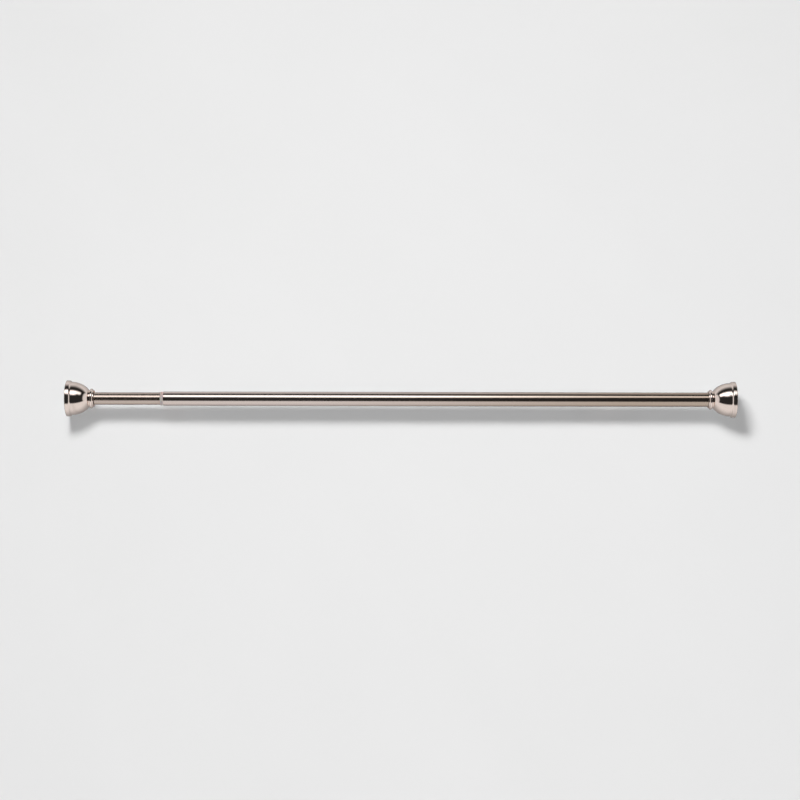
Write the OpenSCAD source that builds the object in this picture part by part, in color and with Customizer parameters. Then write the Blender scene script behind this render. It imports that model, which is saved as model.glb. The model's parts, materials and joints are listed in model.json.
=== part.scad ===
// Telescoping twist-tight tension rod with two dome end covers.
// The rod runs along X. The origin is the centre of the fixed foot's wall face,
// and +X points into that wall, so the whole rod lies on the -X side.

/* [Rod] */
// Length between the two wall faces at the stored setting
rest_length = 1176; // [1070:1:1825]
// Outside diameter of the larger tube
outer_od = 25.4; // [24.5:0.1:25.8]
// Wall thickness of the larger tube
outer_wall = 0.7; // [0.5:0.05:0.8]
// Length of the larger tube
outer_len = 990; // [960:1:1000]
// Outside diameter of the smaller tube
inner_od = 22.2; // [21.8:0.1:22.4]
// Wall thickness of the smaller tube
inner_wall = 0.6; // [0.5:0.05:0.8]
// Length of the smaller tube
inner_len = 880; // [860:1:900]

/* [Dome covers] */
// Outside diameter of a cover's rim
cover_rim_d = 63.4; // [62:0.1:68]
// Outside diameter of the dome where it meets the rim band
dome_d = 59; // [57:0.1:60]
// Width of the straight rim band
cover_band = 7.5; // [7:0.1:8.5]
// Axial length of a cover
cover_len = 47.5; // [46:0.1:52]
// Sheet thickness of a cover
cover_wall = 1.3; // [0.9:0.1:1.6]
// Outside diameter of the ring round a cover's neck
neck_ring_d = 35; // [33:0.1:38]
// Diameter of the hole that the tube passes through
neck_hole_d = 26.2; // [26:0.1:27]

/* [Feet] */
// Thickness of a rubber foot pad
pad_thickness = 2.8; // [2.5:0.1:3]
// Number of gussets behind the fixed foot's flange
gussets = 8; // [6:1:12]
// Diameter of the stem that slides in the smaller tube
stem_d = 12; // [11:0.5:13]

/* [Foot spring] */
// Wire diameter
spring_wire = 1.8; // [1.4:0.1:2]
// Mean coil diameter
spring_d = 17.2; // [16.8:0.1:17.6]
// Length at rest
spring_len = 22; // [20:0.5:24]
// Number of turns
spring_turns = 6.5; // [5:0.5:7]

/* [Screw and grip] */
// Diameter of the jack screw
screw_d = 8; // [7:0.5:9]
// Length of the jack screw
screw_len = 105; // [103:1:110]
// Number of slots in the grip sleeve
sleeve_slots = 4; // [3:1:6]

/* [Hidden] */
$fn = 96;

// Radial gap of a running fit, and of two pieces seated in each other
running_gap = 0.05;
seat_gap = 0.03;
// Axial gap between two faces that turn on each other
thrust_gap = 0.1;

outer_r = outer_od / 2;
outer_bore_r = outer_r - outer_wall;
inner_r = inner_od / 2;
inner_bore_r = inner_r - inner_wall;

// Covers
cover_rim_r = cover_rim_d / 2;
dome_r = dome_d / 2;
neck_hole_r = neck_hole_d / 2;
neck_ring_r = neck_ring_d / 2;
cover_start = 0.5;
cover_end = cover_start + cover_len;
band_end = cover_start + cover_band;
rim_round = 1.1;
neck_bead = 2.5;
neck_r = neck_ring_r - neck_bead;
neck_ring_half = 2.8;
neck_ring_at = cover_end - 4.2;
mouth_recess_r = neck_r - 0.7;
mouth_recess_depth = 3;
dome_rise = 36.7;
dome_steps = 20;
// Where the rim band's straight inside ends and the dome's inside begins
band_depth = band_end - cover_wall;

// Pads and flanges
pad_r = cover_rim_r - cover_wall - running_gap;
flange_r = pad_r - 2.9;
pad_lip_r = flange_r - 2;
pad_lip_len = 1.2;
pad_end = band_depth - thrust_gap;
pad_round = 0.6;
pad_groove_width = 1.6;
pad_groove_depth = 0.7;
pad_grooves = [11, 17, 23];
flange_start = pad_thickness;
flange_end = pad_end - pad_lip_len;

// Fixed foot
fixed_shoulder = 16;
fixed_boss_r = 15;
fixed_plug_len = 34;
fixed_plug_cavity_r = 8.5;
// Rolled crimp that holds the plug, just under the edge of the closed cover
crimp_at = cover_end - 0.4;
crimp_width = 1.6;
crimp_depth = 0.3;
fixed_pin_at = fixed_shoulder + 16;
gusset_reach = 25;
gusset_thickness = 1.8;
pin_r = 1.5;

// Moving foot, measured from its own wall face
stem_r = stem_d / 2;
hub_r = 12;
hub_end = 9.5;
spring_end = hub_end + spring_len;
washer_thickness = 1.5;
washer_r = 10.9;
bush_start = spring_end + washer_thickness + thrust_gap;
bush_collar = 3;
inner_tube_start = bush_start + bush_collar;
bush_len = 24;
bush_end = inner_tube_start + bush_len;
bush_pin_at = inner_tube_start + 8;
stem_end = bush_end + thrust_gap;
stem_round = 0.6;
foot_washer_r = 9;
foot_washer_hole_r = 2.15;
foot_screw_r = 2;
foot_screw_depth = 16;
foot_screw_head_r = 4;
foot_screw_head_h = 3.1;
foot_screw_head_round = 1.4;
hex_key_af = 2.5;
hex_key_depth = 1.8;

// Screw and grip, measured from the smaller tube's inner end
plug_collar = 10;
plug_round = 0.6;
plug_len = 30;
plug_pin_at = 15;
screw_r = screw_d / 2;
screw_socket = 25;
nut_start = plug_collar + 3;
nut_head_r = 11;
nut_head_len = 4;
cone_big_r = 10.8;
cone_small_r = 7.5;
cone_len = 18;
nut_tail_len = 16;
nut_end = nut_start + nut_head_len + cone_len + nut_tail_len;
sleeve_r = outer_bore_r - running_gap;
sleeve_start = nut_start + nut_head_len + 1;
sleeve_len = 30;
sleeve_slot_len = 22;
sleeve_slot_width = 1.6;
grip_groove_start = 3.5;
grip_groove_width = 1.8;
grip_groove_depth = 0.8;
stop_nut_af = 13;
stop_nut_h = 6.5;
stop_nut_from_end = 4;

// Mouth bushing
bushing_len = 30;
bushing_stand_out = 5;
mouth_round = 0.5;

// Colours
satin_nickel = "#b5a9a1";
polished_nickel = "#cfc4bb";
nylon = "#e6e4de";
black_rubber = "#2b2b2c";
grey_plastic = "#8b8d8f";
steel = "#a9adb2";
black_plastic = "#3a3a3c";

// Turns a shape whose axis is Z so that its axis is X
module along_x() {
    rotate([0, 90, 0]) children();
}

// Ring from start to end along X
module ring(start, end, r, hole_r = 0) {
    translate([start, 0, 0]) along_x()
        difference() {
            cylinder(h = end - start, r = r);
            if (hole_r > 0)
                translate([0, 0, -1]) cylinder(h = end - start + 2, r = hole_r);
        }
}

// Solid of revolution about X, from an outline of [x, radius] points
module turned(outline) {
    along_x() rotate_extrude() polygon([for (p = outline) [p[1], p[0]]]);
}

// Drill across the rod, along Z
module cross_drill(at, r) {
    translate([at, 0, -outer_od]) cylinder(h = 2 * outer_od, r = r, $fn = 32);
}

// Hollow roll pin across the rod, split along its length
module roll_pin(at, half_length) {
    wall = 0.55;
    split = 0.6;
    translate([at, 0, -half_length]) difference() {
        cylinder(h = 2 * half_length, r = pin_r - seat_gap, $fn = 32);
        translate([0, 0, -1]) cylinder(h = 2 * half_length + 2, r = pin_r - wall, $fn = 32);
        translate([0, -split / 2, -1]) cube([pin_r * 2, split, 2 * half_length + 2]);
    }
}

// Places a shape measured from the fixed wall face, with X away from that wall
module at_fixed_end() {
    mirror([1, 0, 0]) children();
}

// Places a shape measured from the moving wall face, with X away from that wall
module at_moving_end() {
    translate([-rest_length, 0, 0]) children();
}

// Places a shape measured from the smaller tube's inner end, with X away from that tube
module at_inner_end() {
    translate([-rest_length + inner_tube_start + inner_len, 0, 0]) children();
}

// One quarter of an ellipse, from its widest radius down to radius stop_r
function dome_line(base, rise, r, stop_r, steps) =
    let (last = acos(stop_r / r))
    [for (i = [0 : steps]) let (a = last * i / steps) [base + rise * sin(a), r * cos(a)]];

// Points of an outline's corner [x, r] rounded by size, where the outline turns along +X
function start_round(x, r, size) =
    [for (a = [0 : 30 : 90]) [x + size - size * cos(a), r - size + size * sin(a)]];

// The same at an outline's far end, where it turns back towards the axis
function end_round(x, r, size) =
    [for (a = [90 : -30 : 0]) [x - size + size * cos(a), r - size + size * sin(a)]];

function reverse_of(list) = [for (i = [len(list) - 1 : -1 : 0]) list[i]];

// Half circle bulging outwards, for rolled beads
function bead_line(middle, half_width, base_r, bulge, steps = 8) =
    [for (i = [0 : steps]) let (a = 180 * i / steps)
        [middle - half_width * cos(a), base_r + bulge * sin(a)]];

// Dome cover: rim band, step, elliptical dome, neck ring and a short lip round the mouth
module dome_cover() {
    outside = concat(
        start_round(cover_start, cover_rim_r, rim_round),
        end_round(band_end, cover_rim_r, rim_round),
        dome_line(band_end, dome_rise, dome_r, neck_r, dome_steps),
        bead_line(neck_ring_at, neck_ring_half, neck_r, neck_bead),
        [[cover_end, neck_r], [cover_end, mouth_recess_r]]
    );
    inside = concat(
        [[cover_end - mouth_recess_depth, mouth_recess_r]],
        [[cover_end - mouth_recess_depth, neck_hole_r]],
        reverse_of(dome_line(band_depth, dome_rise, dome_r - cover_wall, neck_hole_r,
                             dome_steps)),
        [[band_depth, cover_rim_r - cover_wall], [cover_start, cover_rim_r - cover_wall]]
    );
    turned(concat(outside, inside));
}

// Rubber pad: a grooved disc with a lip that hooks over the foot's flange
module foot_pad() {
    difference() {
        turned(concat([[0, 0]], start_round(0, pad_r, pad_round), [
            [pad_end, pad_r], [pad_end, pad_lip_r], [flange_end, pad_lip_r],
            [flange_end, flange_r + seat_gap], [flange_start, flange_r + seat_gap],
            [flange_start, 0]
        ]));
        for (r = pad_grooves)
            ring(-1, pad_groove_depth, r + pad_groove_width / 2, r - pad_groove_width / 2);
    }
}

// Outline of the crimp in a wall of radius r
function crimp_line(r) = [
    [crimp_at - crimp_width / 2, r], [crimp_at - crimp_width / 4, r - crimp_depth],
    [crimp_at + crimp_width / 4, r - crimp_depth], [crimp_at + crimp_width / 2, r]
];

// Larger tube, with a rolled edge at its mouth and a crimp over the foot's plug
module outer_tube() {
    color(satin_nickel) at_fixed_end() difference() {
        turned(concat(
            [[fixed_shoulder, outer_bore_r], [fixed_shoulder, outer_r]],
            crimp_line(outer_r),
            end_round(fixed_shoulder + outer_len, outer_r, mouth_round),
            [[fixed_shoulder + outer_len, outer_bore_r]],
            reverse_of(crimp_line(outer_bore_r))
        ));
        cross_drill(fixed_pin_at, pin_r);
    }
}

module mouth_bushing() {
    mouth = fixed_shoulder + outer_len;
    color(nylon) at_fixed_end()
        ring(mouth + bushing_stand_out - bushing_len, mouth + bushing_stand_out,
             outer_bore_r - seat_gap, inner_r + running_gap);
}

// Flange, boss, gussets and a hollow plug that fills the larger tube's end
module fixed_foot_core() {
    color(grey_plastic) at_fixed_end() difference() {
        union() {
            ring(flange_start, flange_end, flange_r);
            ring(flange_end - 1, fixed_shoulder, fixed_boss_r);
            ring(fixed_shoulder - 1, fixed_shoulder + fixed_plug_len, outer_bore_r - seat_gap);
            for (i = [0 : gussets - 1]) rotate([360 * i / gussets, 0, 0])
                translate([0, gusset_thickness / 2, 0]) rotate([90, 0, 0])
                    linear_extrude(gusset_thickness) polygon([
                        [flange_end - 1, fixed_boss_r - 1], [flange_end - 1, gusset_reach],
                        [flange_end + 1, gusset_reach], [fixed_shoulder - 1, fixed_boss_r + 1],
                        [fixed_shoulder - 1, fixed_boss_r - 1]
                    ]);
        }
        ring(flange_end + 2, fixed_shoulder + fixed_plug_len + 1, fixed_plug_cavity_r);
        ring(crimp_at - crimp_width / 2, crimp_at + crimp_width / 2, outer_r,
             outer_bore_r - crimp_depth - seat_gap);
        cross_drill(fixed_pin_at, pin_r);
    }
}

module fixed_foot_pad() {
    color(black_rubber) at_fixed_end() foot_pad();
}

module fixed_foot_pin() {
    color(steel) at_fixed_end() roll_pin(fixed_pin_at, outer_r - 0.2);
}

module fixed_dome_cover() {
    color(polished_nickel) at_fixed_end() dome_cover();
}

// Threaded nut with a cone that wedges the grip sleeve against the larger tube
module grip_nut() {
    cone_start = nut_start + nut_head_len;
    cone_end = cone_start + cone_len;
    color(black_plastic) at_inner_end() turned([
        [nut_start, screw_r + running_gap], [nut_start, nut_head_r], [cone_start, nut_head_r],
        [cone_start, cone_big_r], [cone_end, cone_small_r], [nut_end, cone_small_r],
        [nut_end, screw_r + running_gap]
    ]);
}

// Radius of the nut's cone at a distance from the smaller tube's end
function cone_r(x) =
    cone_big_r - (cone_big_r - cone_small_r) * (x - nut_start - nut_head_len) / cone_len;

module grip_sleeve() {
    cone_end = nut_start + nut_head_len + cone_len;
    groove = sleeve_start + grip_groove_start;
    groove_r = sleeve_r - grip_groove_depth;
    color(nylon) at_inner_end() difference() {
        turned([
            [sleeve_start, cone_r(sleeve_start) + 2 * seat_gap], [sleeve_start, sleeve_r - 0.4],
            [sleeve_start + 0.8, sleeve_r], [groove, sleeve_r], [groove, groove_r],
            [groove + grip_groove_width, groove_r], [groove + grip_groove_width, sleeve_r],
            [sleeve_start + sleeve_len, sleeve_r],
            [sleeve_start + sleeve_len, cone_small_r + 2 * seat_gap],
            [cone_end, cone_small_r + 2 * seat_gap]
        ]);
        for (i = [0 : sleeve_slots - 1]) rotate([45 + 360 * i / sleeve_slots, 0, 0])
            translate([sleeve_start - 1, 0, -sleeve_slot_width / 2])
                cube([sleeve_slot_len + 1, outer_r, sleeve_slot_width]);
    }
}

// Spring ring that holds the split sleeve together
module grip_ring() {
    groove = sleeve_start + grip_groove_start;
    color(steel) at_inner_end()
        ring(groove + 0.1, groove + grip_groove_width - 0.1, sleeve_r - 0.1,
             sleeve_r - grip_groove_depth + seat_gap);
}

module thrust_washer() {
    color(steel) at_moving_end()
        ring(spring_end, spring_end + washer_thickness, washer_r, stem_r + running_gap);
}

// Points of one wire section of the coil, at a share t of the whole coil
function coil_section(t, sides) =
    let (turn = 360 * spring_turns * t,
         x = hub_end + spring_wire / 2 + (spring_len - spring_wire) * t)
    [for (k = [0 : sides - 1])
        let (a = 360 * k / sides,
             r = spring_d / 2 + spring_wire / 2 * cos(a))
        [x + spring_wire / 2 * sin(a), r * cos(turn), r * sin(turn)]];

module foot_spring() {
    sides = 8;
    steps = round(spring_turns * 24);
    points = [for (i = [0 : steps]) each coil_section(i / steps, sides)];
    skin = [for (i = [0 : steps - 1], k = [0 : sides - 1])
        let (n = (k + 1) % sides)
        [i * sides + k, i * sides + n, (i + 1) * sides + n, (i + 1) * sides + k]];
    first = [for (k = [sides - 1 : -1 : 0]) k];
    last = [for (k = [0 : sides - 1]) steps * sides + k];
    color(steel) at_moving_end()
        polyhedron(points = points, faces = concat([first], skin, [last]));
}

module inner_tube() {
    color(satin_nickel) at_moving_end() difference() {
        ring(inner_tube_start, inner_tube_start + inner_len, inner_r, inner_bore_r);
        cross_drill(bush_pin_at, pin_r);
        cross_drill(inner_tube_start + inner_len - plug_pin_at, pin_r);
    }
}

// Bush that closes the smaller tube's outer end and guides the stem
module foot_bush() {
    color(nylon) at_moving_end() difference() {
        turned([
            [bush_start, stem_r + running_gap], [bush_start, inner_r],
            [inner_tube_start, inner_r], [inner_tube_start, inner_bore_r - seat_gap],
            [bush_end, inner_bore_r - seat_gap], [bush_end, stem_r + running_gap]
        ]);
        for (side = [0, 1]) mirror([0, 0, side])
            translate([bush_pin_at, 0, stem_r + 0.8])
                cylinder(h = outer_od, r = pin_r, $fn = 32);
    }
}

// Two short pins, one each side, that stop clear of the stem
module foot_bush_pin() {
    pin_len = inner_r - 0.1 - (stem_r + 0.9);
    color(steel) at_moving_end()
        for (side = [0, 1]) mirror([0, 0, side])
            translate([bush_pin_at, 0, stem_r + 0.9])
                cylinder(h = pin_len, r = pin_r - seat_gap, $fn = 32);
}

// Plug in the smaller tube's inner end, with the collar that runs in the larger tube
module screw_plug() {
    color(black_plastic) at_inner_end() difference() {
        turned(concat([
            [-plug_len, 0], [-plug_len, inner_bore_r - seat_gap],
            [0, inner_bore_r - seat_gap], [0, outer_bore_r - running_gap]
        ], end_round(plug_collar, outer_bore_r - running_gap, plug_round), [
            [plug_collar, 0]
        ]));
        ring(-screw_socket, plug_collar + 1, screw_r + seat_gap);
        cross_drill(-plug_pin_at, pin_r);
    }
}

module screw_plug_pin() {
    color(steel) at_inner_end() roll_pin(-plug_pin_at, inner_r - 0.2);
}

module jack_screw() {
    end = screw_len - screw_socket;
    color(steel) at_inner_end() difference() {
        turned([
            [-screw_socket, 0], [-screw_socket, screw_r], [end - 1, screw_r],
            [end, screw_r - 1], [end, 0]
        ]);
        cross_drill(-plug_pin_at, pin_r);
    }
}

// Hexagon nut locked on the screw's end, so that the grip cannot be wound off
module screw_stop_nut() {
    end = screw_len - screw_socket - stop_nut_from_end;
    color(steel) at_inner_end() translate([end - stop_nut_h, 0, 0]) along_x()
        difference() {
            cylinder(h = stop_nut_h, d = stop_nut_af / cos(30), $fn = 6);
            translate([0, 0, -1]) cylinder(h = stop_nut_h + 2, r = screw_r + seat_gap);
        }
}

// Flange, hub and stem, with a threaded hole in the stem's end
module moving_foot_core() {
    color(grey_plastic) at_moving_end() difference() {
        turned(concat([
            [flange_start, 0], [flange_start, flange_r], [flange_end, flange_r],
            [flange_end, hub_r], [hub_end, hub_r], [hub_end, stem_r]
        ], end_round(stem_end, stem_r, stem_round), [
            [stem_end, 0]
        ]));
        ring(stem_end - foot_screw_depth - 1, stem_end + 1, foot_screw_r + seat_gap);
    }
}

module moving_foot_pad() {
    color(black_rubber) at_moving_end() foot_pad();
}

module foot_washer() {
    color(steel) at_moving_end()
        ring(stem_end, stem_end + washer_thickness, foot_washer_r, foot_washer_hole_r);
}

// Button-head screw that keeps the stem in its bush
module foot_screw() {
    seat = stem_end + washer_thickness;
    head_end = seat + foot_screw_head_h;
    color(steel) at_moving_end() difference() {
        turned(concat([
            [stem_end - foot_screw_depth, 0], [stem_end - foot_screw_depth, foot_screw_r],
            [seat, foot_screw_r], [seat, foot_screw_head_r]
        ], end_round(head_end, foot_screw_head_r, foot_screw_head_round), [
            [head_end, 0]
        ]));
        translate([head_end - hex_key_depth, 0, 0]) along_x()
            cylinder(h = 2 * hex_key_depth, d = hex_key_af / cos(30), $fn = 6);
    }
}

module moving_dome_cover() {
    color(polished_nickel) at_moving_end() dome_cover();
}

outer_tube();
mouth_bushing();
fixed_foot_core();
fixed_foot_pad();
fixed_foot_pin();
fixed_dome_cover();
grip_nut();
grip_sleeve();
grip_ring();
thrust_washer();
foot_spring();
inner_tube();
foot_bush();
foot_bush_pin();
screw_plug();
screw_plug_pin();
jack_screw();
screw_stop_nut();
moving_foot_core();
moving_foot_pad();
foot_washer();
foot_screw();
moving_dome_cover();
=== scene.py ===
"""Looks of a telescoping tension rod with dome end covers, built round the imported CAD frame.

The rod lies along X. Its fixed foot's wall face is at the origin and the moving foot's is at -X.
Outlines are written in millimetres as (distance along the rod, radius, corner rounding), and are
turned about the rod's axis.
"""

import json
import math

import bmesh
import bpy
from mathutils import Matrix, Vector

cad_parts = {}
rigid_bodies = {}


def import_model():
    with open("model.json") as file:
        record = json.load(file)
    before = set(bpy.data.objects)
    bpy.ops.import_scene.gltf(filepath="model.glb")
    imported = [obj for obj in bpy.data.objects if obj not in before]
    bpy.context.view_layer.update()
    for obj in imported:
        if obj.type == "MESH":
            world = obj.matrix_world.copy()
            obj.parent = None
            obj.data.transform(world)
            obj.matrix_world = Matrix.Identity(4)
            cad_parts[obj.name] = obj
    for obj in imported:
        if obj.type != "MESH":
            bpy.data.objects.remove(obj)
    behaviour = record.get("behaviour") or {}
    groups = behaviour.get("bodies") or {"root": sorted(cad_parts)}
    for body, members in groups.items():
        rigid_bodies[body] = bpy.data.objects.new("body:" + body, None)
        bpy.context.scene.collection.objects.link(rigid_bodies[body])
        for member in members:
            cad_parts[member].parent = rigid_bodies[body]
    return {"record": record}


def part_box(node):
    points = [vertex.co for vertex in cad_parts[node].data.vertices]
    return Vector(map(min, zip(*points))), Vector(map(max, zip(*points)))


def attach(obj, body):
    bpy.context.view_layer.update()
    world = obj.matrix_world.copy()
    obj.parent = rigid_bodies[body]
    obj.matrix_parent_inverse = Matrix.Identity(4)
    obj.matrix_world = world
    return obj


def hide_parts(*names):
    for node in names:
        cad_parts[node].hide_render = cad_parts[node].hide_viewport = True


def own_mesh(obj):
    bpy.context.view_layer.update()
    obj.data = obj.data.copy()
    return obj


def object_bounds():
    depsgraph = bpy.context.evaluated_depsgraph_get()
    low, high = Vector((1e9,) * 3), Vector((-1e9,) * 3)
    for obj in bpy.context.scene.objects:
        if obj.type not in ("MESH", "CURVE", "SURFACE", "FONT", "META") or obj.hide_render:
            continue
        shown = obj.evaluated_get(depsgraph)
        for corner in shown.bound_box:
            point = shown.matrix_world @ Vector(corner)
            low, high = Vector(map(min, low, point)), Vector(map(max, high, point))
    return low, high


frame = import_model()
cad_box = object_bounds()

MM = 0.001
RECORD = frame["record"]
BODY_OF = {node: body for body, nodes in RECORD["behaviour"]["bodies"].items() for node in nodes}

# How finely round things are built
FINE = 192
MEDIUM = 96
COARSE = 48
CORNER_STEPS = 5
SHARP_ANGLE = math.radians(32)


# ---------------------------------------------------------------- sizes read from the frame
def reach(node):
    """A node's lowest and highest X and its radius, in millimetres."""
    low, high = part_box(node)
    return low[0] / MM, high[0] / MM, (high[2] - low[2]) / 2 / MM


def middle_of(node):
    """A node's middle along X, in millimetres."""
    low, high, _ = reach(node)
    return (low + high) / 2


ROD_LENGTH = (cad_box[1][0] - cad_box[0][0]) / MM
RIM_R = reach("fixed_dome_cover")[2]
PAD_R = reach("fixed_foot_pad")[2]
FLANGE_R = reach("moving_foot_core")[2]
OUTER_R = reach("outer_tube")[2]
INNER_R = reach("inner_tube")[2]
OUTER_WALL = 0.7
INNER_WALL = 0.6
OUTER_BORE_R = OUTER_R - OUTER_WALL
INNER_BORE_R = INNER_R - INNER_WALL
STEM_R = 6.0
SCREW_R = reach("jack_screw")[2]
PIN_R = 1.5
FOOT_SCREW_R = 2.0
SEAT_GAP = 0.03
RUNNING_GAP = 0.05
SCREW_PITCH = 3.0


# ---------------------------------------------------------------- mesh tools
def rounded(outline, steps=CORNER_STEPS):
    """An outline whose corners are rounded. Each point is (x, r) or (x, r, rounding)."""
    points = []
    count = len(outline)
    for i, point in enumerate(outline):
        corner = Vector(point[:2])
        size = point[2] if len(point) > 2 else 0
        if size <= 0:
            points.append(tuple(corner))
            continue
        back = Vector(outline[i - 1][:2]) - corner
        ahead = Vector(outline[(i + 1) % count][:2]) - corner
        half = back.angle(ahead) / 2
        cut = min(size / math.tan(half), back.length * 0.49, ahead.length * 0.49)
        start = corner + back.normalized() * cut
        end = corner + ahead.normalized() * cut
        radius = cut * math.tan(half)
        middle = corner + (back.normalized() + ahead.normalized()).normalized() * (
            radius / math.sin(half))
        for k in range(steps + 1):
            share = k / steps
            spoke = (start - middle).normalized().slerp((end - middle).normalized(), share)
            points.append(tuple(middle + spoke * radius))
    return points


def finish_mesh(name, bm):
    """Turns a bmesh in metres into a smooth-shaded object with sharp edges kept."""
    bmesh.ops.remove_doubles(bm, verts=bm.verts, dist=1e-6)
    bmesh.ops.recalc_face_normals(bm, faces=bm.faces)
    mesh = bpy.data.meshes.new(name)
    bm.to_mesh(mesh)
    bm.free()
    mesh.polygons.foreach_set("use_smooth", [True] * len(mesh.polygons))
    mesh.set_sharp_from_angle(angle=SHARP_ANGLE)
    piece = bpy.data.objects.new(name, mesh)
    bpy.context.scene.collection.objects.link(piece)
    return piece


def turn_outline(bm, outline, segments, place=lambda x: x, bend=None):
    """Turns a closed outline in millimetres about the X axis. bend may change (x, r) by angle."""
    rings = []
    for k in range(segments):
        angle = 2 * math.pi * k / segments
        ring = []
        for x, r in outline:
            if bend:
                x, r = bend(x, r, angle)
            ring.append(bm.verts.new((place(x) * MM, r * math.cos(angle) * MM,
                                      r * math.sin(angle) * MM)))
        rings.append(ring)
    count = len(outline)
    for k in range(segments):
        this, following = rings[k], rings[(k + 1) % segments]
        for i in range(count):
            j = (i + 1) % count
            if outline[i][1] < 1e-6 and outline[j][1] < 1e-6:
                continue
            bm.faces.new((this[i], this[j], following[j], following[i]))


def lathe(name, outline, segments=MEDIUM, place=lambda x: x, bend=None):
    """One turned piece."""
    bm = bmesh.new()
    turn_outline(bm, rounded(outline), segments, place, bend)
    bmesh.ops.dissolve_degenerate(bm, edges=bm.edges, dist=1e-7)
    return finish_mesh(name, bm)


def carve(piece, cutters):
    """Cuts closed cutter objects out of a piece and deletes them."""
    for cutter in cutters:
        change = piece.modifiers.new("cut", "BOOLEAN")
        change.object = cutter
        change.operation = "DIFFERENCE"
        change.solver = "EXACT"
    bpy.context.view_layer.update()
    shape = piece.evaluated_get(bpy.context.evaluated_depsgraph_get())
    mesh = bpy.data.meshes.new_from_object(shape)
    mesh.polygons.foreach_set("use_smooth", [True] * len(mesh.polygons))
    mesh.set_sharp_from_angle(angle=SHARP_ANGLE)
    piece.modifiers.clear()
    old = piece.data
    piece.data = mesh
    bpy.data.meshes.remove(old)
    for cutter in cutters:
        bpy.data.objects.remove(cutter)
    return piece


def fuse(piece, other, cutters):
    """Joins another object to a piece, deletes it, and then carves the piece."""
    join = piece.modifiers.new("join", "BOOLEAN")
    join.object = other
    join.operation = "UNION"
    join.solver = "EXACT"
    carve(piece, cutters)
    bpy.data.objects.remove(other)


def cross_cutter(at, radius, low, high):
    """A round cutter along Z at x = at, from low to high, in millimetres."""
    bm = bmesh.new()
    bmesh.ops.create_cone(bm, cap_ends=True, segments=COARSE, radius1=radius * MM,
                          radius2=radius * MM, depth=(high - low) * MM,
                          matrix=Matrix.Translation((at * MM, 0, (low + high) / 2 * MM)))
    return finish_mesh("cutter", bm)


def through_cutter(pin, r):
    """A cutter for a pin's hole right through something of radius r."""
    past = 2.0
    return cross_cutter(middle_of(pin), PIN_R, -r - past, r + past)


def box_cutter(low, high, turn=0.0):
    """A box cutter between two corners in millimetres, turned about the rod's axis."""
    bm = bmesh.new()
    bmesh.ops.create_cube(bm, size=1)
    middle = (Vector(low) + Vector(high)) / 2 * MM
    size = (Vector(high) - Vector(low)) * MM
    bm.transform(Matrix.Rotation(turn, 4, "X") @ Matrix.Translation(middle)
                 @ Matrix.Diagonal((*size, 1)))
    return finish_mesh("cutter", bm)


def place_piece(piece, node, material):
    """Puts a piece on its CAD node's body, in its place and in its slot."""
    piece.data.materials.clear()
    piece.data.materials.append(material)
    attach(piece, BODY_OF[node])
    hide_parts(node)
    return piece


def from_fixed_wall(s):
    """X of a point s millimetres from the fixed wall face."""
    return -s


def from_moving_wall(s):
    """X of a point s millimetres from the moving wall face."""
    return s - ROD_LENGTH


INNER_END = reach("inner_tube")[1]


# ---------------------------------------------------------------- materials
class Paint:
    """A node material with one Principled shader and helpers that add to it."""

    def __init__(self, name, color, metallic=0.0, roughness=0.5):
        self.material = bpy.data.materials.new(name)
        self.material.use_nodes = True
        self.nodes = self.material.node_tree.nodes
        self.links = self.material.node_tree.links
        self.shader = self.nodes["Principled BSDF"]
        self.set("Base Color", (*color, 1))
        self.set("Metallic", metallic)
        self.set("Roughness", roughness)
        self.place = self.nodes.new("ShaderNodeTexCoord").outputs["Object"]

    def set(self, socket, value):
        self.shader.inputs[socket].default_value = value

    def noise(self, scale, detail=3.0, stretch=(1, 1, 1), roughness=0.55):
        """Noise in the object's own metres. stretch multiplies the frequency on each axis."""
        mapping = self.nodes.new("ShaderNodeMapping")
        mapping.inputs["Scale"].default_value = stretch
        self.links.new(self.place, mapping.inputs["Vector"])
        noise = self.nodes.new("ShaderNodeTexNoise")
        noise.inputs["Scale"].default_value = scale
        noise.inputs["Detail"].default_value = detail
        noise.inputs["Roughness"].default_value = roughness
        self.links.new(mapping.outputs["Vector"], noise.inputs["Vector"])
        return noise.outputs["Fac"]

    def range(self, value, low, high, from_low=0.3, from_high=0.7):
        node = self.nodes.new("ShaderNodeMapRange")
        node.inputs["From Min"].default_value = from_low
        node.inputs["From Max"].default_value = from_high
        node.inputs["To Min"].default_value = low
        node.inputs["To Max"].default_value = high
        self.links.new(value, node.inputs["Value"])
        return node.outputs["Result"]

    def tint(self, value, dark, light):
        """Base colour that runs between two colours."""
        mix = self.nodes.new("ShaderNodeMix")
        mix.data_type = "RGBA"
        mix.inputs["A"].default_value = (*dark, 1)
        mix.inputs["B"].default_value = (*light, 1)
        self.links.new(value, mix.inputs["Factor"])
        self.links.new(mix.outputs["Result"], self.shader.inputs["Base Color"])

    def vary_roughness(self, value, low, high):
        self.links.new(self.range(value, low, high), self.shader.inputs["Roughness"])

    def bump(self, value, depth_mm, strength=1.0):
        node = self.nodes.new("ShaderNodeBump")
        node.inputs["Strength"].default_value = strength
        node.inputs["Distance"].default_value = depth_mm * MM
        self.links.new(value, node.inputs["Height"])
        self.links.new(node.outputs["Normal"], self.shader.inputs["Normal"])


def scaled(color, factor):
    """A colour made lighter or darker."""
    return tuple(min(1.0, c * factor) for c in color)


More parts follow.
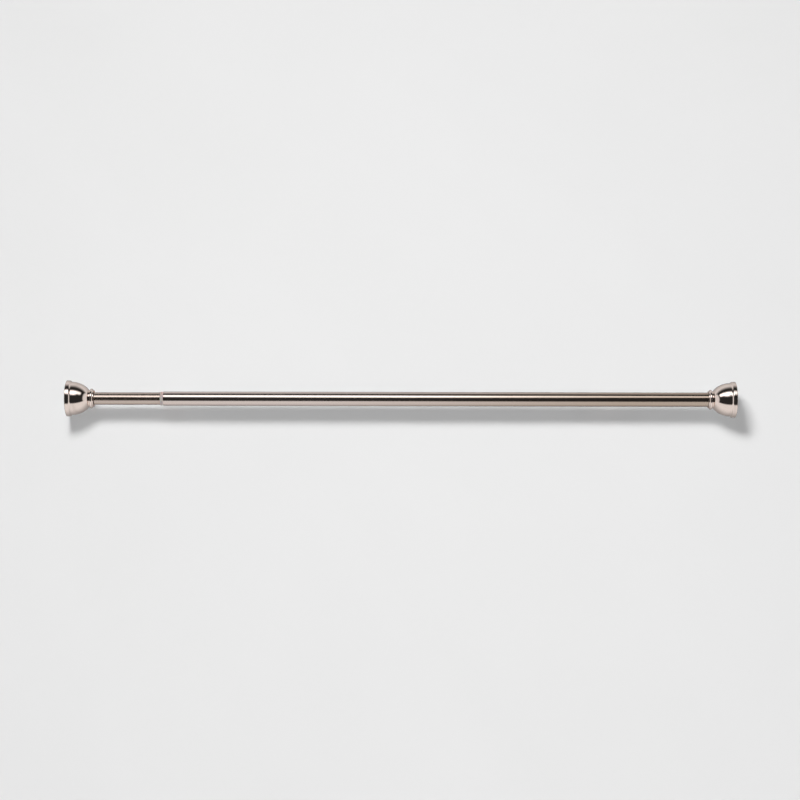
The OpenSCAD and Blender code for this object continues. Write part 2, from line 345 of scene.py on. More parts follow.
def satin_nickel(name, color, darker, smoothest, roughest):
    """Drawn and plated tube: fine lines along its length, and painted shade that makes it a little
    darker towards the fixed end.
    """
    paint = Paint(name, color, metallic=1.0)
    lines = paint.noise(900, detail=4, stretch=(0.004, 1, 1))
    split = paint.nodes.new("ShaderNodeSeparateXYZ")
    paint.links.new(paint.place, split.inputs["Vector"])
    # Painted shade: the colour fades to the darker one towards the fixed end, standing in for the
    # darker reflection there.
    along = paint.range(split.outputs["X"], 1, 0, -0.75, -0.20)
    paint.tint(along, darker, color)
    paint.vary_roughness(lines, smoothest, roughest)
    paint.bump(lines, 0.002, 0.25)
    return paint.material


def polished_nickel():
    """Spun and polished cover: faint lines round it and a few softer patches."""
    color = (0.76, 0.65, 0.59)
    paint = Paint("polished_nickel", color, metallic=1.0)
    lines = paint.noise(1400, detail=3, stretch=(1, 0.004, 0.004))
    patches = paint.noise(60, detail=3)
    paint.tint(paint.range(patches, 0, 1), scaled(color, 0.98), scaled(color, 1.02))
    paint.vary_roughness(patches, 0.05, 0.09)
    paint.bump(lines, 0.001, 0.12)
    return paint.material


def white_nylon():
    """Natural nylon that lets a little light in."""
    color = (0.44, 0.37, 0.35)
    paint = Paint("white_nylon", color, roughness=0.42)
    paint.set("Subsurface Weight", 0.35)
    paint.set("Subsurface Scale", 0.002)
    paint.set("IOR", 1.53)
    patches = paint.noise(180, detail=3)
    paint.tint(paint.range(patches, 0, 1), scaled(color, 0.95), scaled(color, 1.03))
    paint.vary_roughness(patches, 0.36, 0.48)
    paint.bump(paint.noise(1500, detail=2), 0.01, 0.3)
    return paint.material


def black_rubber():
    """Matt rubber with a trace of dust."""
    color = (0.022, 0.022, 0.024)
    paint = Paint("black_rubber", color, roughness=0.8)
    dust = paint.noise(120, detail=5)
    paint.tint(paint.range(dust, 0, 1), scaled(color, 0.8), scaled(color, 1.5))
    paint.vary_roughness(dust, 0.7, 0.88)
    paint.bump(paint.noise(2200, detail=3), 0.03, 0.5)
    return paint.material


def moulded_plastic(name, color):
    """Injection-moulded plastic with a fine eroded grain."""
    paint = Paint(name, color, roughness=0.5)
    grain = paint.noise(2600, detail=3)
    patches = paint.noise(90, detail=3)
    paint.tint(paint.range(patches, 0, 1), scaled(color, 0.92), scaled(color, 1.08))
    paint.vary_roughness(grain, 0.44, 0.58)
    paint.bump(grain, 0.02, 0.5)
    return paint.material


def zinc_steel():
    """Bright zinc plate with a slight straw tint in places."""
    paint = Paint("zinc_steel", (0.60, 0.61, 0.62), metallic=1.0)
    patches = paint.noise(220, detail=3)
    paint.tint(paint.range(patches, 0, 1), (0.56, 0.57, 0.58), (0.66, 0.64, 0.58))
    paint.vary_roughness(paint.noise(1400, detail=3), 0.24, 0.38)
    paint.bump(paint.noise(1800, detail=2), 0.006, 0.3)
    return paint.material


# The second colour of each tube is painted shade, used towards the fixed end.
SATIN = satin_nickel("satin_nickel", (0.66, 0.57, 0.525), (0.52, 0.42, 0.345), 0.14, 0.20)
SATIN_INNER = satin_nickel("satin_nickel_inner", (0.54, 0.45, 0.395), (0.52, 0.43, 0.375), 0.20, 0.26)
POLISHED = polished_nickel()
NYLON = white_nylon()
RUBBER = black_rubber()
GREY = moulded_plastic("grey_plastic", (0.25, 0.26, 0.27))
BLACK = moulded_plastic("black_plastic", (0.035, 0.035, 0.038))
ZINC = zinc_steel()


# ---------------------------------------------------------------- dome covers
COVER_WALL = 1.3
BAND_START = 0.5
BAND_END = 8.0
SHOULDER_START = 6.2
SHOULDER_END = 10.6
COVER_END = 48.0
DOME_R = 29.5
DOME_RISE = 36.7
NECK_R = 15.0
RING_MIDDLE = 43.8
RING_HALF = 2.8
RING_BULGE = 2.5
MOUTH_RECESS_R = 14.3
MOUTH_RECESS_START = 45.0
NECK_HOLE_R = 13.1


def ellipse(base, rise, r, stop_r, steps):
    """An ellipse's quarter from its widest radius r down to stop_r."""
    last = math.acos(stop_r / r)
    return [(base + rise * math.sin(last * k / steps), r * math.cos(last * k / steps))
            for k in range(steps + 1)]


def shoulder(start, top, end, bottom, steps=16):
    """A smooth S-curve down from the rim band to the dome."""
    middle, half = (top + bottom) / 2, (top - bottom) / 2
    return [(start + (end - start) * k / steps, middle + half * math.cos(math.pi * k / steps))
            for k in range(steps + 1)]


def dome_cover(name, node, place):
    """Spun cover: rim band, shoulder, dome, rolled neck ring and lip, with its real inside."""
    outside = [(BAND_START, RIM_R, 0.7)]
    dome = ellipse(BAND_END, DOME_RISE, DOME_R, NECK_R, 56)
    dome = [point for point in dome if point[0] > SHOULDER_END + 0.1]
    outside += shoulder(SHOULDER_START, RIM_R, SHOULDER_END, dome[0][1] + 0.02)
    outside += dome[:-1] + [(dome[-1][0], dome[-1][1], 1.0)]
    outside += [(RING_MIDDLE - RING_HALF, NECK_R, 0.5)]
    steps = 16
    for k in range(2, steps - 1):
        angle = math.pi * k / steps
        outside.append((RING_MIDDLE - RING_HALF * math.cos(angle),
                        NECK_R + RING_BULGE * math.sin(angle)))
    outside += [(RING_MIDDLE + RING_HALF, NECK_R, 0.4), (COVER_END, NECK_R, 0.3),
                (COVER_END, MOUTH_RECESS_R, 0.2), (MOUTH_RECESS_START, MOUTH_RECESS_R, 0.3)]
    inside = [(MOUTH_RECESS_START, NECK_HOLE_R, 0.3)]
    inner_base = BAND_END - COVER_WALL
    inside += ellipse(inner_base, DOME_RISE, DOME_R - COVER_WALL, NECK_HOLE_R, 32)[::-1]
    inside += [(inner_base, RIM_R - COVER_WALL, 0.3), (BAND_START, RIM_R - COVER_WALL, 0.5)]
    return place_piece(lathe(name, outside + inside, FINE, place), node, POLISHED)


# ---------------------------------------------------------------- tubes and bushing
CRIMP_MIDDLE = 47.6
CRIMP_HALF = 0.8
CRIMP_DEPTH = 0.3
CRIMP_ROUNDING = 0.6


def crimp_line(r):
    """The rolled crimp in a tube's surface of radius r."""
    return [(CRIMP_MIDDLE - CRIMP_HALF, r, CRIMP_ROUNDING),
            (CRIMP_MIDDLE, r - CRIMP_DEPTH, CRIMP_ROUNDING),
            (CRIMP_MIDDLE + CRIMP_HALF, r, CRIMP_ROUNDING)]


def outer_tube():
    """Larger tube with a rolled mouth, a crimp over the foot's plug and a cross hole."""
    low, high, _ = reach("outer_tube")
    mouth = -low
    roll_length, roll_drop, roll_steps = 1.6, 0.5, 6
    outline = [(-high, OUTER_BORE_R, 0.2), (-high, OUTER_R, 0.2)]
    outline += crimp_line(OUTER_R)
    for k in range(roll_steps):
        angle = math.pi / 2 * k / roll_steps
        outline.append((mouth - roll_length * (1 - math.sin(angle)),
                        OUTER_R - roll_drop * (1 - math.cos(angle))))
    outline += [(mouth, OUTER_R - roll_drop, 0.05), (mouth, OUTER_BORE_R, 0.1)]
    outline += crimp_line(OUTER_BORE_R)[::-1]
    tube = lathe("large_tube", outline, FINE, from_fixed_wall)
    carve(tube, [through_cutter("fixed_foot_pin", OUTER_R)])
    return place_piece(tube, "outer_tube", SATIN)


def inner_tube():
    """Smaller tube with deburred ends and the holes of its two pins."""
    low, high, _ = reach("inner_tube")
    outline = [(low, INNER_BORE_R, 0.12), (low, INNER_R, 0.25),
               (high, INNER_R, 0.25), (high, INNER_BORE_R, 0.12)]
    tube = lathe("small_tube", outline, FINE)
    carve(tube, [through_cutter(pin, INNER_R) for pin in ("foot_bush_pin", "screw_plug_pin")])
    return place_piece(tube, "inner_tube", SATIN_INNER)


def mouth_bushing():
    """Nylon sleeve in the larger tube's mouth, with a rounded lip that stands out."""
    low, high, _ = reach("mouth_bushing")
    bore = INNER_R + RUNNING_GAP
    skin = OUTER_BORE_R - SEAT_GAP
    outline = [(low, bore, 0.25), (low, skin, 0.5), (high, skin, 0.3), (high, bore, 0.3)]
    return place_piece(lathe("mouth_sleeve", outline, FINE), "mouth_bushing", NYLON)


# ---------------------------------------------------------------- feet
PAD_FACE = reach("moving_foot_core")[0] + ROD_LENGTH
PAD_END = reach("moving_foot_pad")[1] + ROD_LENGTH
PAD_LIP = 1.2
FLANGE_END = PAD_END - PAD_LIP
PAD_LIP_R = FLANGE_R - 2.0
PAD_GROOVES = (11, 17, 23)
GROOVE_WIDTH = 1.6
GROOVE_DEPTH = 0.7


def foot_pad(name, node, place):
    """Rubber disc with round grip grooves and a lip that hooks over the flange."""
    outline = [(0, 0)]
    for r in PAD_GROOVES:
        low, high = r - GROOVE_WIDTH / 2, r + GROOVE_WIDTH / 2
        outline += [(0, low, 0.2), (GROOVE_DEPTH, low, 0.25), (GROOVE_DEPTH, high, 0.25),
                    (0, high, 0.2)]
    outline += [(0, PAD_R, 0.6), (PAD_END, PAD_R, 0.5),
                (PAD_END, PAD_LIP_R, 0.5), (FLANGE_END, PAD_LIP_R, 0.2),
                (FLANGE_END, FLANGE_R + SEAT_GAP), (PAD_FACE, FLANGE_R + SEAT_GAP),
                (PAD_FACE, 0)]
    return place_piece(lathe(name, outline, FINE, place), node, RUBBER)


def gusset(bm, outline, thickness, turn, place):
    """A flat rib in a plane through the rod's axis."""
    sides = []
    for y in (-thickness / 2, thickness / 2):
        side = []
        for x, r in outline:
            point = Matrix.Rotation(turn, 3, "X") @ Vector((place(x), y, r))
            side.append(bm.verts.new(point * MM))
        sides.append(side)
    bm.faces.new(sides[0])
    bm.faces.new(sides[1][::-1])
    for i in range(len(outline)):
        j = (i + 1) % len(outline)
        bm.faces.new((sides[0][i], sides[0][j], sides[1][j], sides[1][i]))


def fixed_foot_core():
    """Flange, boss and hollow plug with gussets, as one moulding."""
    tube_start, plug_end, boss_r, cavity_r = 16.0, 50.0, 15.0, 8.5
    plug_r = OUTER_BORE_R - SEAT_GAP
    crimp_low, crimp_high = CRIMP_MIDDLE - CRIMP_HALF, CRIMP_MIDDLE + CRIMP_HALF
    crimp_r = OUTER_BORE_R - CRIMP_DEPTH - 0.02
    cavity_start = FLANGE_END + 2
    outline = [(PAD_FACE, 0), (PAD_FACE, FLANGE_R, 0.4), (FLANGE_END, FLANGE_R, 0.4),
               (FLANGE_END, boss_r, 0.8), (tube_start, boss_r, 0.4), (tube_start, plug_r),
               (crimp_low, plug_r), (crimp_low, crimp_r), (crimp_high, crimp_r),
               (crimp_high, plug_r), (plug_end, plug_r, 0.8), (plug_end, cavity_r, 0.5),
               (cavity_start, cavity_r, 0.8), (cavity_start, 0)]
    core = lathe("foot_moulding_fixed", outline, MEDIUM, from_fixed_wall)
    bm = bmesh.new()
    ribs, rib_thickness, rib_r = 8, 1.8, 25
    rib = [(FLANGE_END - 1, boss_r - 1), (FLANGE_END - 1, rib_r), (FLANGE_END + 1, rib_r),
           (tube_start - 1, boss_r + 1), (tube_start - 1, boss_r - 1)]
    for k in range(ribs):
        gusset(bm, rib, rib_thickness, 2 * math.pi * k / ribs, from_fixed_wall)
    web = finish_mesh("ribs", bm)
    fuse(core, web, [through_cutter("fixed_foot_pin", OUTER_R)])
    return place_piece(core, "fixed_foot_core", GREY)


def roll_pin(name, node):
    """Hollow steel pin, chamfered at its ends and split along its length."""
    x, half = middle_of(node), reach(node)[2]
    radius, hole, chamfer, split = PIN_R - SEAT_GAP, PIN_R - 0.55, 0.25, 0.6
    arc_steps = 28
    gap = math.asin(split / 2 / radius)
    levels = [(-half, radius - chamfer), (-half + chamfer, radius),
              (half - chamfer, radius), (half, radius - chamfer), (half, hole), (-half, hole)]
    bm = bmesh.new()
    columns = []
    for k in range(arc_steps + 1):
        angle = gap + (2 * math.pi - 2 * gap) * k / arc_steps
        columns.append([bm.verts.new(((x + r * math.cos(angle)) * MM, r * math.sin(angle) * MM,
                                      z * MM)) for z, r in levels])
    count = len(levels)
    for one, other in zip(columns, columns[1:]):
        for i in range(count):
            j = (i + 1) % count
            bm.faces.new((one[i], one[j], other[j], other[i]))
    bm.faces.new(columns[0])
    bm.faces.new(columns[-1][::-1])
    return place_piece(finish_mesh(name, bm), node, ZINC)


def moving_foot_core():
    """Flange, hub and stem, with the hole of its screw."""
    hub_r, hub_end = 12.0, 9.5
    stem_end = reach("moving_foot_core")[1] + ROD_LENGTH
    screw_depth, screw_r = 17.0, FOOT_SCREW_R + SEAT_GAP
    outline = [(PAD_FACE, 0), (PAD_FACE, FLANGE_R, 0.4), (FLANGE_END, FLANGE_R, 0.4),
               (FLANGE_END, hub_r, 0.5), (hub_end, hub_r, 0.4), (hub_end, STEM_R, 0.3),
               (stem_end, STEM_R, 0.6), (stem_end, screw_r, 0.2),
               (stem_end - screw_depth, screw_r), (stem_end - screw_depth - 1, 0)]
    core = lathe("foot_moulding_moving", outline, MEDIUM, from_moving_wall)
    return place_piece(core, "moving_foot_core", GREY)


def ring_piece(name, node, hole_r, material, rounding=0.2):
    """A washer or ring with rounded edges, as large as its CAD node."""
    low, high, r = reach(node)
    outline = [(low, hole_r, rounding), (low, r, rounding), (high, r, rounding),
               (high, hole_r, rounding)]
    return place_piece(lathe(name, outline, MEDIUM), node, material)


def foot_bush():
    """Nylon bush with a collar against the tube's end and blind pin holes."""
    low, high, _ = reach("foot_bush")
    tube_start = reach("inner_tube")[0]
    bore = STEM_R + RUNNING_GAP
    skin = INNER_BORE_R - SEAT_GAP
    outline = [(low, bore, 0.3), (low, INNER_R, 0.5), (tube_start, INNER_R, 0.1),
               (tube_start, skin), (high, skin, 0.6), (high, bore, 0.3)]
    bush = lathe("stem_bush", outline, FINE)
    pin_x = middle_of("foot_bush_pin")
    floor, past = STEM_R + 0.8, INNER_R + 3
    cutters = [cross_cutter(pin_x, PIN_R, floor, past),
               cross_cutter(pin_x, PIN_R, -past, -floor)]
    return place_piece(carve(bush, cutters), "foot_bush", NYLON)


def bush_pins():
    """Two short solid pins with rounded ends."""
    x, top = middle_of("foot_bush_pin"), reach("foot_bush_pin")[2]
    bottom = STEM_R + 0.9
    radius = PIN_R - SEAT_GAP
    profile = rounded([(bottom, 0), (bottom, radius, 0.3), (top, radius, 0.4), (top, 0)])
    bm = bmesh.new()
    for side in (1, -1):
        part = bmesh.new()
        turn_outline(part, profile, COARSE)
        stand = Matrix(((0, 0, -1), (0, 1, 0), (1, 0, 0))).to_4x4()
        part.transform(Matrix.Translation((x * MM, 0, 0))
                       @ Matrix.Rotation(0 if side > 0 else math.pi, 4, "X") @ stand)
        mesh = bpy.data.meshes.new("pin")
        bmesh.ops.remove_doubles(part, verts=part.verts, dist=1e-6)
        part.to_mesh(mesh)
        part.free()
        bm.from_mesh(mesh)
        bpy.data.meshes.remove(mesh)
    return place_piece(finish_mesh("bush_pins", bm), "foot_bush_pin", ZINC)


def foot_spring():
    """Round-wire compression coil with closed ends, on its own copy of its mesh."""
    low, high, r = reach("foot_spring")
    wire, turns, closed = 0.9, 6.5, 0.75
    coil_r = r - wire
    length = high - low - 2 * wire
    end_rise = closed * 2 * wire * 1.04
    per_turn, sides = 40, 14
    steps = round(turns * per_turn)
    bm = bmesh.new()
    rings = []
    for k in range(steps + 1):
        turn = turns * k / steps
        if turn < closed:
            rise = end_rise * turn / closed
        elif turn > turns - closed:
            rise = length - end_rise * (turns - turn) / closed
        else:
            share = (turn - closed) / (turns - 2 * closed)
            rise = end_rise + (length - 2 * end_rise) * share
        angle = 2 * math.pi * turn
        out = Vector((0, math.cos(angle), math.sin(angle)))
        along = Vector((1, 0, 0))
        middle = Vector((low + wire + rise, 0, 0)) + out * coil_r
        rings.append([bm.verts.new((middle + out * wire * math.cos(2 * math.pi * i / sides)
                                    + along * wire * math.sin(2 * math.pi * i / sides)) * MM)
                      for i in range(sides)])
    for one, other in zip(rings, rings[1:]):
        for i in range(sides):
            j = (i + 1) % sides
            bm.faces.new((one[i], one[j], other[j], other[i]))
    bm.faces.new(rings[0][::-1])
    bm.faces.new(rings[-1])
    spring = place_piece(finish_mesh("foot_coil", bm), "foot_spring", ZINC)
    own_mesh(spring)
    return spring


# ---------------------------------------------------------------- screw and grip
def threaded_rod(name, low, high, major_r, pitch, chamfer=0.8):
    """A right-hand thread with true helical flanks, cut square at both ends."""
    depth = 0.61 * pitch
    # One turn's profile as (share of the pitch, share of the depth): crest, flank, root, flank
    profile = [(0.0, 0.0), (0.125, 0.0), (0.46, 1.0), (0.665, 1.0)]
    per_pitch = len(profile)
    around = COARSE
    turns = math.ceil((high - low) / pitch) + 3
    start = low - 1.5 * pitch
    bm = bmesh.new()
    rows = []
    for k in range(turns * per_pitch):
        share, drop = profile[k % per_pitch]
        base = start + (k // per_pitch + share) * pitch
        row = []
        for i in range(around):
            angle = 2 * math.pi * i / around
            x = base + pitch * i / around
            edge = max(0.0, chamfer - min(x - low, high - x))
            r = max(major_r - depth, min(major_r - depth * drop, major_r - edge))
            row.append(bm.verts.new((x * MM, r * math.cos(angle) * MM, r * math.sin(angle) * MM)))
        rows.append(row)
    for k in range(len(rows) - 1):
        for i in range(around - 1):
            bm.faces.new((rows[k][i], rows[k + 1][i], rows[k + 1][i + 1], rows[k][i + 1]))
        if k + 1 + per_pitch < len(rows):
            bm.faces.new((rows[k][-1], rows[k + 1][-1], rows[k + 1 + per_pitch][0],
                          rows[k + per_pitch][0]))
    for x, side in ((low, -1), (high, 1)):
        everything = bm.verts[:] + bm.edges[:] + bm.faces[:]
        bmesh.ops.bisect_plane(bm, geom=everything, plane_co=(x * MM, 0, 0),
                               plane_no=(side, 0, 0), clear_outer=True)
        rim = [e for e in bm.edges if e.is_boundary
               and all(abs(v.co.x - x * MM) < 1e-7 for v in e.verts)]
        bmesh.ops.contextual_create(bm, geom=rim)
    return finish_mesh(name, bm)


def jack_screw():
    """Threaded rod with its pin hole."""
    low, high, _ = reach("jack_screw")
    screw = threaded_rod("jack_screw_thread", low, high, SCREW_R, SCREW_PITCH)
    carve(screw, [through_cutter("screw_plug_pin", SCREW_R)])
    return place_piece(screw, "jack_screw", ZINC)


def stop_nut():
    """Hexagon nut with chamfered corners and a locking collar."""
    low, high, _ = reach("screw_stop_nut")
    flat_r = 6.5
    corner_r = flat_r / math.cos(math.pi / 6)
    hole = SCREW_R + SEAT_GAP
    collar_len, collar_r = 1.6, flat_r - 0.9
    body_end = high - collar_len

    def hexagon(x, r, angle):
        if r <= flat_r:
            return x, r
        edge = flat_r / math.cos(angle % (math.pi / 3) - math.pi / 6)
        return x, min(r, edge)

    outline = [(low, hole), (low, flat_r - 0.2), (low + 0.75, corner_r), (body_end - 0.6, corner_r),
               (body_end, flat_r - 0.1), (body_end, collar_r),
               (high - 0.5, collar_r), (high, collar_r - 0.5), (high, hole)]
    nut = lathe("end_lock_nut", outline, MEDIUM, bend=hexagon)
    return place_piece(nut, "screw_stop_nut", ZINC)


CONE_BIG_R = 10.8
CONE_SMALL_R = 7.5
CONE_LEN = 18.0
NUT_HEAD_LEN = 4.0


def cone_nut():
    """Nut with a fluted head and the cone that wedges the sleeve."""
    low, high, head_r = reach("grip_nut")
    bore = SCREW_R + RUNNING_GAP
    cone_start = low + NUT_HEAD_LEN
    flutes, flute_depth = 18, 0.35

    def fluted(x, r, angle):
        if r > head_r - 0.5 and low + 0.5 < x < cone_start - 0.4:
            return x, r - flute_depth * max(0.0, math.cos(angle * flutes))
        return x, r

    outline = [(low, bore, 0.4), (low, head_r, 0.5), (low + 1.0, head_r),
               (cone_start - 1.0, head_r), (cone_start, head_r, 0.4),
               (cone_start, CONE_BIG_R), (cone_start + CONE_LEN, CONE_SMALL_R),
               (high, CONE_SMALL_R, 0.6), (high, bore, 0.4)]
    return place_piece(lathe("cone_nut", outline, 180, bend=fluted), "grip_nut", BLACK)


def grip_sleeve():
    """Split nylon sleeve with a ring groove and four slots."""
    low, high, r = reach("grip_sleeve")
    ring_low, ring_high, _ = reach("grip_ring")
    nut_low = reach("grip_nut")[0]
    groove_r = r - 0.8
    groove_low, groove_high = ring_low - 0.1, ring_high + 0.1
    seat = 2 * SEAT_GAP
    cone_start = nut_low + NUT_HEAD_LEN
    cone_end = cone_start + CONE_LEN
    mouth_r = CONE_BIG_R - (CONE_BIG_R - CONE_SMALL_R) * (low - cone_start) / CONE_LEN
    outline = [(low, mouth_r + seat), (low, r, 0.35), (groove_low, r, 0.1),
               (groove_low, groove_r), (groove_high, groove_r), (groove_high, r, 0.1),
               (high, r, 0.5), (high, CONE_SMALL_R + seat, 0.2),
               (cone_end, CONE_SMALL_R + seat)]
    sleeve = lathe("split_sleeve", outline, FINE)
    slots = 4
    width, length = 1.6, 22.0
    cutters = [box_cutter((low - 1, 0, -width / 2), (low + length, OUTER_R, width / 2),
                          math.radians(45 + 360 * k / slots)) for k in range(slots)]
    return place_piece(carve(sleeve, cutters), "grip_sleeve", NYLON)


def screw_plug():
    """Plug with a grooved collar that runs in the larger tube."""
    low, high, collar_r = reach("screw_plug")
    tube_end = INNER_END
    skin = INNER_BORE_R - SEAT_GAP
    socket = 25.0
    bore = SCREW_R + SEAT_GAP
    middle = (tube_end + high) / 2
    groove_r = collar_r - 0.5
    outline = [(low, 0), (low, skin, 0.8), (tube_end, skin), (tube_end, collar_r, 0.4),
               (middle - 1, collar_r, 0.2), (middle - 0.6, groove_r, 0.2),
               (middle + 0.6, groove_r, 0.2), (middle + 1, collar_r, 0.2),
               (high, collar_r, 0.6), (high, bore, 0.4), (tube_end - socket, bore),
               (tube_end - socket, 0)]
    plug = lathe("screw_carrier", outline, MEDIUM)
    carve(plug, [through_cutter("screw_plug_pin", INNER_R)])
    return place_piece(plug, "screw_plug", BLACK)


def foot_screw():
    """Button-head screw with a hexagon socket and a threaded shank."""
    low, high, head_r = reach("foot_screw")
    head_height, edge_height = 3.1, 0.5
    head_low = high - head_height
    shank = threaded_rod("button_screw", low, head_low + 0.2, FOOT_SCREW_R, 0.7, chamfer=0.4)
    dome = [(head_low, 0), (head_low, head_r, 0.2)]
    first, last, steps = math.radians(14), math.radians(74), 8
    for k in range(steps + 1):
        angle = first + (last - first) * k / steps
        rise = (head_height - edge_height) * math.sin(angle) / math.sin(last)
        dome.append((head_low + edge_height + rise, head_r * math.cos(angle)))
    dome += [(high, 0)]
    key_flats, key_depth = 2.5, 1.8
    key_r = key_flats / 2 / math.cos(math.pi / 6)
    bm = bmesh.new()
    bmesh.ops.create_cone(bm, cap_ends=True, segments=6, radius1=key_r * MM,
                          radius2=key_r * MM, depth=2 * key_depth * MM,
                          matrix=Matrix.Translation((high * MM, 0, 0))
                          @ Matrix.Rotation(math.pi / 2, 4, "Y"))
    fuse(shank, lathe("head", dome, MEDIUM), [finish_mesh("key", bm)])
    return place_piece(shank, "foot_screw", ZINC)


# ---------------------------------------------------------------- stage
def stage_floor():
    """A wide pale table that the covers' rims rest on."""
    bm = bmesh.new()
    bmesh.ops.create_grid(bm, x_segments=1, y_segments=1, size=6)
    floor = finish_mesh("floor", bm)
    floor.location = (-ROD_LENGTH / 2 * MM, 0, cad_box[0][2])
    color = (0.80, 0.80, 0.80)
    paint = Paint("table", color, roughness=0.9)
    paint.set("Specular IOR Level", 0.0)
    patches = paint.noise(3, detail=2)
    paint.tint(paint.range(patches, 0, 1), scaled(color, 0.99375), scaled(color, 1.00625))
    floor.data.materials.append(paint.material)
    floor.visible_glossy = False


def aim(thing, target):
    """Points a light's or camera's -Z at a target."""
    way = Vector(target) - thing.location
    thing.rotation_euler = way.to_track_quat("-Z", "Y").to_euler()


def area_light(name, at, target, width, height, radiance):
    """A rectangular area light of a given radiance."""
    light = bpy.data.lights.new(name, "AREA")
    light.shape = "RECTANGLE"
    light.size = width
    light.size_y = height
    light.energy = radiance * math.pi * width * height
    lamp = bpy.data.objects.new(name, light)
    lamp.location = at
    bpy.context.scene.collection.objects.link(lamp)
    aim(lamp, target)
    return lamp


def soften_edges(lamp, margins):
    """Fades a light's surface to nothing over a share of its width and height at each edge."""
    light = lamp.data
    light.use_nodes = True
    nodes, links = light.node_tree.nodes, light.node_tree.links
    place = nodes.new("ShaderNodeNewGeometry").outputs["Parametric"]
    split = nodes.new("ShaderNodeSeparateXYZ")
    links.new(place, split.inputs["Vector"])
    fades = []
    for position, margin in zip(split.outputs, margins):
        away = nodes.new("ShaderNodeMath")
        away.operation = "SUBTRACT"
        links.new(position, away.inputs[0])
        away.inputs[1].default_value = 0.5
        size = nodes.new("ShaderNodeMath")
        size.operation = "ABSOLUTE"
        links.new(away.outputs["Value"], size.inputs[0])
        fade = nodes.new("ShaderNodeMapRange")
        fade.interpolation_type = "SMOOTHSTEP"
        fade.inputs["From Min"].default_value = 0.5
        fade.inputs["From Max"].default_value = 0.5 - margin
        links.new(size.outputs["Value"], fade.inputs["Value"])
        fades.append(fade.outputs["Result"])
    both = nodes.new("ShaderNodeMath")
    both.operation = "MULTIPLY"
    links.new(fades[0], both.inputs[0])
    links.new(fades[1], both.inputs[1])
    links.new(both.outputs["Value"], nodes["Emission"].inputs["Strength"])


def even_out(lamp):
    """Lights near and far surfaces alike, so that the table is lit evenly."""
    light = lamp.data
    light.use_nodes = True
    nodes = light.node_tree.nodes
    falloff = nodes.new("ShaderNodeLightFalloff")
    falloff.inputs["Strength"].default_value = 1.0
    light.node_tree.links.new(falloff.outputs["Constant"], nodes["Emission"].inputs["Strength"])


def above_rod(along, tilt, distance):
    """A place at a distance from the rod's middle, tilted in degrees from straight up to +Y."""
    angle = math.radians(tilt)
    return (-ROD_LENGTH / 2 * MM + along, distance * math.sin(angle), distance * math.cos(angle))


# Softboxes as (name, place along the rod, tilt, width, radiance, soft share of each side)
SOFTBOXES = (("softbox_wide", -0.5, 31, 5.6, 1.65, 0.15),
             ("softbox_core", -0.22, 23.5, 2.1, 2.3, 0.5),
             ("softbox_left", -1.7, 28, 2.6, 1.0, 0.35))
SOFTBOX_HEIGHT = 2.05
SOFTBOX_DISTANCE = 2.7
KEY_PLACE = (-0.80, 33.2, 3.18)
KEY_SIZE = (1.1, 0.84)
KEY_STRENGTH = 2.608
FILL_PLACE = (0.0, -40, 5.0)
FILL_SIZE = (2.5, 2.5)
FILL_STRENGTH = 0.309


def studio_lights():
    """A long softbox with a brighter core that only metal shows, a key light and a soft fill."""
    middle = (-ROD_LENGTH / 2 * MM, 0, 0)
    for i, (name, along, tilt, width, radiance, soft) in enumerate(SOFTBOXES):
        place = above_rod(along, tilt, SOFTBOX_DISTANCE - 0.02 * i)
        lamp = area_light(name, place, middle, width, SOFTBOX_HEIGHT, radiance)
        aim(lamp, (lamp.location.x, 0, 0))
        soften_edges(lamp, (soft, 0.5))
        lamp.visible_diffuse = False
    key = area_light("key", above_rod(*KEY_PLACE), middle, *KEY_SIZE, KEY_STRENGTH)
    aim(key, (middle[0] + 0.9, -0.6, 0))
    fill = area_light("fill", above_rod(*FILL_PLACE), middle, *FILL_SIZE, FILL_STRENGTH)
    fill.data.use_shadow = False
    for lamp in (key, fill):
        lamp.visible_glossy = False
        even_out(lamp)


def keep_glints_off_table(metals):
    """Stops the bright metal from throwing light spots on the table."""
    for piece in bpy.context.scene.objects:
        if piece.type == "MESH" and piece.active_material in metals:
            piece.visible_diffuse = False


class Sky:
    """The studio round the table, as a world that depends on direction only."""

    def __init__(self):
        world = bpy.data.worlds.new("studio")
        bpy.context.scene.world = world
        world.use_nodes = True
        self.nodes = world.node_tree.nodes
        self.links = world.node_tree.links
        self.output = self.nodes["Background"]
        coordinates = self.nodes.new("ShaderNodeTexCoord")
        self.split = self.nodes.new("ShaderNodeSeparateXYZ")
        self.links.new(coordinates.outputs["Generated"], self.split.inputs["Vector"])

    def math(self, operation, a, b=None):
        node = self.nodes.new("ShaderNodeMath")
        node.operation = operation
        for socket, value in zip(node.inputs, (a, b)):
            if value is None:
                continue
            if isinstance(value, (int, float)):
                socket.default_value = value
            else:
                self.links.new(value, socket)
        return node.outputs["Value"]

    def step(self, value, low, high):
        """0 below low, 1 above high, smooth between."""
        node = self.nodes.new("ShaderNodeMapRange")
        node.interpolation_type = "SMOOTHSTEP"
        node.inputs["From Min"].default_value = low
        node.inputs["From Max"].default_value = high
        self.links.new(value, node.inputs["Value"])
        return node.outputs["Result"]

    def dim(self, value, where, share):
        """Takes a share of the value away where another value is 1."""
        kept = self.math("SUBTRACT", 1.0, self.math("MULTIPLY", where, share))
        return self.math("MULTIPLY", value, kept)


FRONT_CARD = 0.90
BACK_CARD = 0.85
SIDE_CARD = 0.85
LOW_FADE = 0.6
MIDDLE_DIP = 0.12
AMBIENT = 0.028


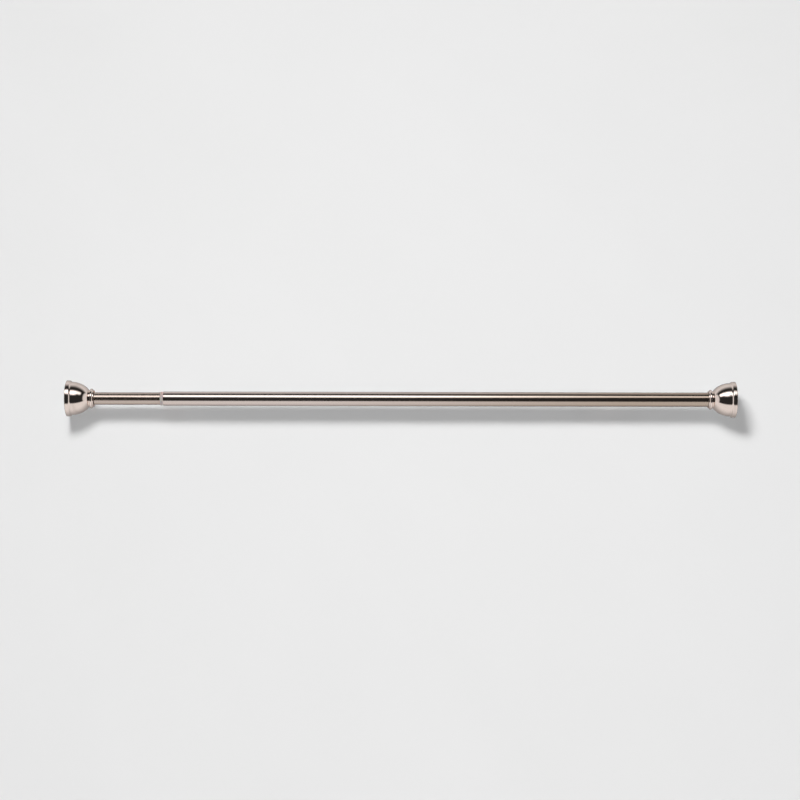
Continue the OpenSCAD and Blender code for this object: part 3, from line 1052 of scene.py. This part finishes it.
def studio_sky():
    """Dark overhead, bright cards low at the front and back that fade downwards, bright sides."""
    sky = Sky()
    x, y, z = sky.split.outputs
    tilt = sky.math("ARCTAN2", y, z)
    front = sky.step(sky.math("MULTIPLY", tilt, -1), math.radians(44), math.radians(56))
    back = sky.step(tilt, math.radians(64), math.radians(100))
    cards = sky.math("ADD", sky.math("MULTIPLY", front, FRONT_CARD),
                     sky.math("MULTIPLY", back, BACK_CARD))
    low = sky.step(sky.math("ABSOLUTE", tilt), math.radians(85), math.radians(165))
    cards = sky.dim(cards, low, LOW_FADE)
    dip = sky.math("SUBTRACT", sky.step(x, -0.04, 0.14), sky.step(x, 0.14, 0.32))
    cards = sky.dim(cards, dip, MIDDLE_DIP)
    side = sky.step(sky.math("ABSOLUTE", x), 0.80, 0.90)
    total = sky.math("ADD", cards, AMBIENT)
    total = sky.math("MAXIMUM", total, sky.math("MULTIPLY", side, SIDE_CARD))
    sky.links.new(total, sky.output.inputs["Strength"])
    sky.output.inputs["Color"].default_value = (1.0, 1.0, 1.0, 1.0)
    bpy.context.scene.world.cycles_visibility.diffuse = False


def camera():
    """A view from 75 degrees above the table through a long lens."""
    distance, elevation = 3.5, math.radians(75)
    shift_along, shift_up = -1.76 * MM, -1.5 * MM
    middle = Vector((-ROD_LENGTH / 2 * MM, 0, 0))
    back = Vector((0, -math.cos(elevation), math.sin(elevation)))
    up = Vector((0, math.sin(elevation), math.cos(elevation)))
    target = middle + Vector((1, 0, 0)) * shift_along + up * shift_up
    lens = bpy.data.cameras.new("camera")
    lens.sensor_width = 36
    lens.lens = 89.53
    lens.clip_start, lens.clip_end = 0.1, 50
    eye = bpy.data.objects.new("camera", lens)
    eye.location = target + back * distance
    bpy.context.scene.collection.objects.link(eye)
    turn = (-back).to_track_quat("-Z", "Y").to_matrix().to_4x4()
    roll = Matrix.Rotation(math.radians(0.12), 4, "Z")
    eye.rotation_euler = (turn @ roll).to_euler()
    bpy.context.scene.camera = eye


# ---------------------------------------------------------------- build
dome_cover("cover_fixed", "fixed_dome_cover", from_fixed_wall)
dome_cover("cover_moving", "moving_dome_cover", from_moving_wall)
outer_tube()
inner_tube()
mouth_bushing()
foot_pad("pad_fixed", "fixed_foot_pad", from_fixed_wall)
foot_pad("pad_moving", "moving_foot_pad", from_moving_wall)
fixed_foot_core()
moving_foot_core()
roll_pin("roll_pin_foot", "fixed_foot_pin")
roll_pin("roll_pin_screw", "screw_plug_pin")
ring_piece("spring_washer", "thrust_washer", STEM_R + RUNNING_GAP, ZINC)
ring_piece("stem_washer", "foot_washer", 2.15, ZINC)
ring_piece("sleeve_ring", "grip_ring", OUTER_BORE_R - 0.83, ZINC, 0.15)
foot_bush()
bush_pins()
foot_spring()
foot_screw()
jack_screw()
stop_nut()
cone_nut()
grip_sleeve()
screw_plug()

stage_floor()
camera()
studio_sky()
studio_lights()
keep_glints_off_table((SATIN, SATIN_INNER, POLISHED))
bpy.context.scene.view_settings.view_transform = "Standard"
